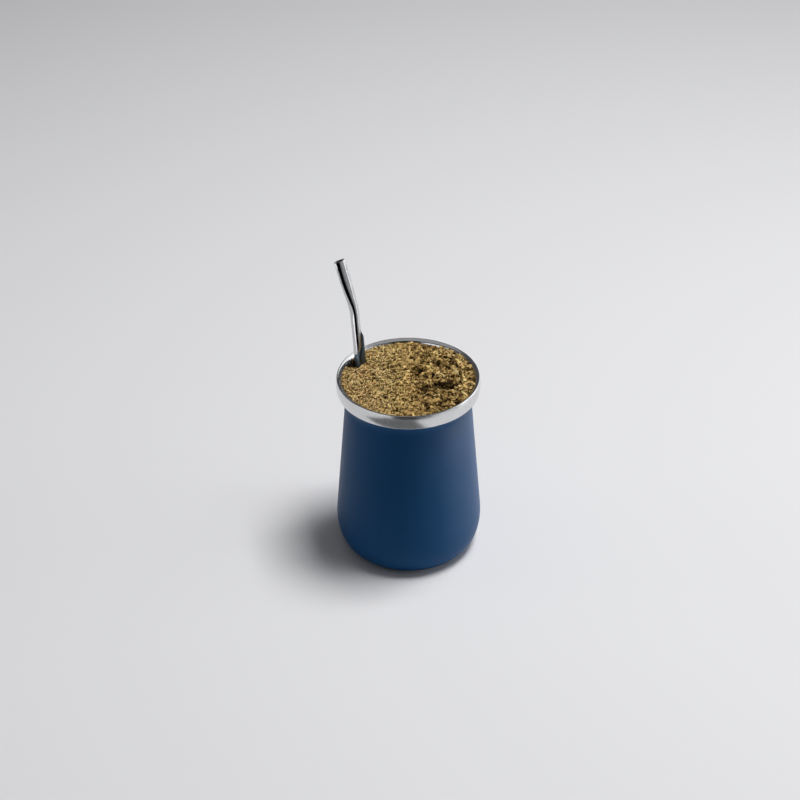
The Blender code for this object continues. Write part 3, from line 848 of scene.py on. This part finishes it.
def make_straw_sleeve(material):
    """The sleeve: extruded upright, its top drawn in to a tip on one side, then placed."""
    side = straw_place().to_3x3().inverted() @ across(SLEEVE_SIDE, STRAW_LOWER)
    shoulder = straw_to_fill() + SLEEVE_TIP_RISE - SLEEVE_TAPER
    centre = side * SLEEVE_OFFSET
    bpy.ops.object.select_all(action="DESELECT")
    bpy.ops.mesh.primitive_circle_add(
        vertices=STRAW_SEGMENTS, radius=SLEEVE_RADIUS, fill_type="NGON", location=centre)
    sleeve = start_piece("straw_sleeve")
    extrude_ring(shoulder, (1.0, 1.0))
    radius, height = SLEEVE_RADIUS, shoulder
    for i in range(1, SLEEVE_STEPS + 1):
        share = (i / (SLEEVE_STEPS + 0.5)) ** SLEEVE_SPACING
        new_radius, middle = sleeve_section(share)
        new_centre = side * middle
        new_height = shoulder + SLEEVE_TAPER * share
        move = new_centre - centre
        size = new_radius / radius
        extrude_ring(new_height - height, (size, size), (move.x, move.y),
                     (new_centre.x, new_centre.y, new_height))
        radius, height, centre = new_radius, new_height, new_centre
    close_piece()
    place_on_straw(sleeve, material)
    return sleeve


# Yerba mate

def clump_share(x, lead=0.0):
    """How rough the filling is, from 0 on its smooth left side to 1 on the right."""
    return smooth_step((x - CLUMP_START + lead) / (CLUMP_FULL - CLUMP_START))


def pit_shares(x, y, pits):
    """Each pit's depth in millimetres, and how much of it reaches a point, 0 to 1."""
    for pit_x, pit_y, radius, depth in pits:
        away = math.hypot(x - pit_x * MM, y - pit_y * MM) / (radius * MM)
        yield depth, math.exp(-away * away)


def fill_height(x, y):
    """Height of the filling's surface, with its heap, clumps, grain and main pits."""
    rough = clump_share(x)
    radius = math.hypot(x, y)
    height = FILL_LEVEL + FILL_CROWN * (1.0 - (radius / FILL_TOP_RADIUS) ** 2)
    away = math.hypot(x - HEAP_CENTRE.x, y - HEAP_CENTRE.y) / HEAP_SPREAD
    height += HEAP_HEIGHT * math.exp(-away * away)
    height += CLUMP_RELIEF * rough * noise.noise(Vector((x, y, 0.0)) / CLUMP_SIZE)
    height += GRAIN_RELIEF * (1.0 + GRAIN_GROWTH * rough) * noise.noise(Vector((x, y, MM)) / GRAIN_SIZE)
    for depth, share in pit_shares(x, y, PITS):
        height -= depth * MM * share
    return height


def crevice(x, y):
    """How deep a point lies in the cracks between clumps, 0 to 1; there are none on the smooth left side."""
    warp = noise.noise(Vector((x, y, 5.0 * MM)) / CRACK_WARP_SIZE) * CRACK_WARP
    near, far = noise.voronoi(Vector((x + warp, y - warp, 0.0)) / CLUMP_SIZE)[0][:2]
    return clump_share(x) * (1.0 - smooth_step((far - near) / CRACK_WIDTH))


def painted_hollow_shade(x, y):
    """How much painted shade a point gets, 0 to 1, in a pit or a crack."""
    deep = CRACK_PAINTED_SHADE * crevice(x, y)
    for depth, share in pit_shares(x, y, PITS + LEAF_PITS):
        deep += min(1.0, PIT_PAINTED_SHADE * depth) * share
    return min(1.0, deep)


def leaf_height(x, y):
    """Height at which the loose bits lie: the surface with its cracks and further pits."""
    height = fill_height(x, y) - CRACK_DEPTH * crevice(x, y)
    for depth, share in pit_shares(x, y, (STRAW_DIP, *LEAF_PITS)):
        height -= depth * MM * share
    return height


def make_bed(material):
    """The heap's own core: a turned block whose top takes the surface's height."""
    profile = [Vector(point) * MM for point in BED_SIDE]
    profile.append(Vector((BED_RADIUS, BED_RIM)))
    for i in range(int(BED_RADIUS / BED_STEP)):
        profile.append(Vector((BED_RADIUS - BED_STEP * i, FILL_LEVEL)))
    bed = lathe("yerba_bed", profile, BED_SEGMENTS)
    for vertex in bed.data.vertices:
        if vertex.co.z > FILL_LEVEL - 0.1 * MM:
            x, y = vertex.co.x, vertex.co.y
            fine = noise.noise(Vector((x, y, 2.0 * MM)) / BED_RELIEF_SIZE)
            vertex.co.z = leaf_height(x, y) - BED_DROP + BED_RELIEF * fine
    tone_and_shade = bed.data.attributes.new("tone_and_shade", "FLOAT", "POINT")
    values = []
    for vertex in bed.data.vertices:
        tone = BED_GAP_SHADE_TONE + BED_TINT_CHANGE * noise.noise(vertex.co / BED_TINT_SIZE)
        # Painted shade: the core's tone is darkened in pits and cracks
        values.append(tone * (1.0 - painted_hollow_shade(vertex.co.x, vertex.co.y)))
    tone_and_shade.data.foreach_set("value", values)
    finish_round(bed, material, 180.0)
    return bed


def take_shape(piece):
    """The points and faces of a small shape that is going to be copied; the shape itself goes."""
    count = len(piece.data.vertices)
    points = np.zeros(count * 3, np.float32)
    piece.data.vertices.foreach_get("co", points)
    faces = [tuple(polygon.vertices) for polygon in piece.data.polygons]
    bpy.data.objects.remove(piece)
    return points.reshape(-1, 3), faces


def crumb_shape():
    bpy.ops.object.select_all(action="DESELECT")
    bpy.ops.mesh.primitive_ico_sphere_add(subdivisions=1, radius=0.5)
    crumb = start_piece("crumb")
    bpy.ops.transform.resize(value=CRUMB_SIZE, center_override=(0.0, 0.0, 0.0))
    bpy.ops.object.mode_set(mode="OBJECT")
    return take_shape(crumb)


def flake_shape():
    """A bit of leaf: a thin bent plate with six corners."""
    bpy.ops.object.select_all(action="DESELECT")
    bpy.ops.mesh.primitive_cylinder_add(
        vertices=6, radius=0.5, depth=FLAKE_THICKNESS, end_fill_type="TRIFAN")
    flake = start_piece("flake")
    bpy.ops.transform.resize(value=(1.0, FLAKE_WIDTH, 1.0), center_override=(0.0, 0.0, 0.0))
    bpy.ops.object.mode_set(mode="OBJECT")
    for vertex in flake.data.vertices:
        vertex.co.z -= FLAKE_BEND * vertex.co.x ** 2
    return take_shape(flake)


def stalk_shape():
    """A bit of stalk: a short rod in three lengths, so that it can be uneven."""
    bpy.ops.object.select_all(action="DESELECT")
    bpy.ops.mesh.primitive_cylinder_add(
        vertices=6, radius=0.5, depth=1.0, rotation=(0.0, 0.5 * math.pi, 0.0))
    stalk = start_piece("stalk")
    for place in (-STALK_CUT, STALK_CUT):
        bpy.ops.mesh.select_all(action="SELECT")
        bpy.ops.mesh.bisect(plane_co=(place, 0.0, 0.0), plane_no=(1.0, 0.0, 0.0))
    bpy.ops.object.mode_set(mode="OBJECT")
    return take_shape(stalk)


def turn_matrices(yaw, pitch, roll):
    """Rotation matrices, one for each bit, from its three angles."""
    cy, sy, cp, sp, cr, sr = (f(a) for a in (yaw, pitch, roll) for f in (np.cos, np.sin))
    rows = np.empty((len(yaw), 3, 3))
    rows[:, 0] = np.stack((cy * cp, cy * sp * sr - sy * cr, cy * sp * cr + sy * sr), 1)
    rows[:, 1] = np.stack((sy * cp, sy * sp * sr + cy * cr, sy * sp * cr - cy * sr), 1)
    rows[:, 2] = np.stack((-sp, cp * sr, cp * cr), 1)
    return rows


def pick_spots(count, coarse, draw):
    """Places for loose bits, and how rough it is there; coarse bits keep away from the smooth side."""
    spots = []
    tries = 0
    while len(spots) < count and tries < TRIES_PER_BIT * count:
        tries += 1
        radius = (BED_RADIUS - BIT_MARGIN) * math.sqrt(draw.random())
        angle = math.tau * draw.random()
        x, y = radius * math.cos(angle), radius * math.sin(angle)
        rough = clump_share(x, ROUGH_LEAD)
        if draw.random() > (1.0 - coarse) + coarse * rough:
            continue
        if (Vector((x, y)) - STRAW_AT_FILL.to_2d()).length < SLEEVE_RADIUS + STRAW_CLEARANCE:
            continue
        spots.append((x, y, rough))
    return [np.array(column) for column in zip(*spots)]


def dullness(x):
    """The leaf is clear on the left, dull in the middle and clearer again on the right."""
    dull = smooth_step((x - DULL_START) / DULL_WIDTH)
    return dull * (1.0 - CLEAR_SHARE * smooth_step((x - CLEAR_START) / CLEAR_WIDTH))


def scatter(name, shape, count, sizes, tilt, lift, tints, coarse, material, draw):
    """Lay copies of a shape over the filling.

    The sizes are length, width and thickness in millimetres, and they and the tints are (least, most)
    pairs. The tilt is in degrees, and the lift, in millimetres, is how far up the highest bits lie.
    Coarse goes from 0, all over the filling, to 1, on the rough side only.
    """
    points, faces = shape
    x, y, rough = pick_spots(count, coarse, draw)
    count = len(x)
    scale = np.empty((count, 3))
    for axis, (least, most) in enumerate(sizes):
        share = draw.random(count) ** BIT_SMALLNESS
        scale[:, axis] = (least + (most - least) * share) * MM
    smooth_size, rough_size = SIZE_BY_ROUGHNESS
    scale *= (smooth_size + rough_size * rough)[:, None]
    reach = np.hypot(x, y) + BIT_REACH * scale[:, 0]
    pull = np.minimum(1.0, (BED_RADIUS + BIT_OVERHANG) / reach)
    x, y = x * pull, y * pull
    z = np.array([leaf_height(a, b) for a, b in zip(x, y)])
    # Share of each bit's tone left by the painted shade of pits and cracks
    shade = 1.0 - np.array([painted_hollow_shade(a, b) for a, b in zip(x, y)])
    smooth_tilt, rough_tilt = TILT_BY_ROUGHNESS
    lean = smooth_tilt + rough_tilt * rough
    yaw = draw.uniform(0.0, math.tau, count)
    pitch = draw.normal(0.0, math.radians(tilt), count) * lean
    roll = draw.normal(0.0, math.radians(tilt), count) * lean
    wobble = 1.0 + BIT_UNEVENNESS * draw.standard_normal((count, len(points), 3))
    body = points[None] * wobble * scale[:, None]
    body = np.einsum("nij,nkj->nki", turn_matrices(yaw, pitch, roll), body)
    rise = lift * MM * draw.random(count)
    body += np.stack((x, y, z + rise), 1)[:, None]
    mesh = bpy.data.meshes.new(name)
    every_face = [tuple(first + i for i in face) for first in range(0, count * len(points), len(points))
                  for face in faces]
    mesh.from_pydata(body.reshape(-1, 3).tolist(), [], every_face)
    low, high = tints
    tone = low + (high - low) * (0.5 - 0.5 * np.cos(math.pi * draw.random(count)))
    tone *= 1.0 - DULLNESS * np.array([dullness(a) for a in x])
    # Painted shade: the bits' tones are darkened in pits and cracks
    tone *= PIT_SHADED_KEEP + (1.0 - PIT_SHADED_KEEP) * shade
    tone_and_shade = mesh.attributes.new("tone_and_shade", "FLOAT", "POINT")
    tone_and_shade.data.foreach_set("value", np.repeat(tone, len(points)).astype(np.float32))
    piece = bpy.data.objects.new(name, mesh)
    bpy.context.scene.collection.objects.link(piece)
    mesh.materials.append(material)
    return piece


def make_yerba():
    draw = np.random.default_rng(SEED)
    bed = leaf_material("leaf_bed", 0.95)
    leaf = leaf_material("leaf_bits", 0.85)
    wood = leaf_material("stalk_bits", 0.8)
    pieces = [make_bed(bed)]
    crumb, flake, stalk = crumb_shape(), flake_shape(), stalk_shape()
    kinds = (
        dict(name="yerba_crumbs", shape=crumb, count=8500, sizes=((0.4, 1.2), (0.4, 0.9), (0.4, 0.9)),
             tilt=30, lift=0.15, tints=(0.0, 0.9), coarse=0.0, material=leaf),
        dict(name="yerba_flakes", shape=flake, count=6500, sizes=((0.8, 2.2), (0.7, 1.6), (0.8, 1.4)),
             tilt=28, lift=0.45, tints=(0.08, 1.0), coarse=0.25, material=leaf),
        dict(name="yerba_fibres", shape=stalk, count=3200, sizes=((0.9, 2.6), (0.16, 0.36), (0.16, 0.3)),
             tilt=16, lift=0.55, tints=(0.4, 0.95), coarse=0.2, material=leaf),
        dict(name="yerba_chips", shape=flake, count=420, sizes=((2.0, 4.0), (1.6, 3.0), (1.5, 2.4)),
             tilt=26, lift=0.8, tints=(0.42, 1.0), coarse=0.93, material=leaf),
        dict(name="yerba_stalks", shape=stalk, count=130, sizes=((2.6, 5.5), (0.5, 0.9), (0.5, 0.9)),
             tilt=12, lift=0.7, tints=(0.55, 0.95), coarse=0.7, material=wood),
    )
    for kind in kinds:
        pieces.append(scatter(draw=draw, **kind))
    return pieces


def dress():
    """Make every piece, attach it to what it rides on, hide the frame's part that it takes the place of, and
    finish it.
    """
    lines, smudges = make_turning_lines(), make_smudges()
    shell = make_coated_shell(navy_coating(smudges))
    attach(shell, "root")
    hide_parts("cup_body")
    add_coating_glow(shell)
    band = make_lip_band(satin_steel(lines, smudges))
    liner = make_liner(bright_steel(lines, smudges))
    for piece in (band, liner):
        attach(piece, "root")
        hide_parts("steel_liner")
    polish = straw_steel("straw_steel", STRAW_TONES, 0.07, 0.13, smudges)
    # Painted shade: the sleeve's steel gets dark tones
    dull = straw_steel("sleeve_steel", SLEEVE_SHADED_TONES, 0.32, 0.40, smudges)
    for piece in (make_straw_tube(polish), make_straw_sleeve(dull)):
        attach(piece, "root")
        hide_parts("straw")
    for piece in make_yerba():
        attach(piece, "root")
        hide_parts("yerba")


add_camera()
add_light()
add_surroundings()
add_floor()
for dark_card in DARK_CARDS:
    add_dark_card(*dark_card)
dress()
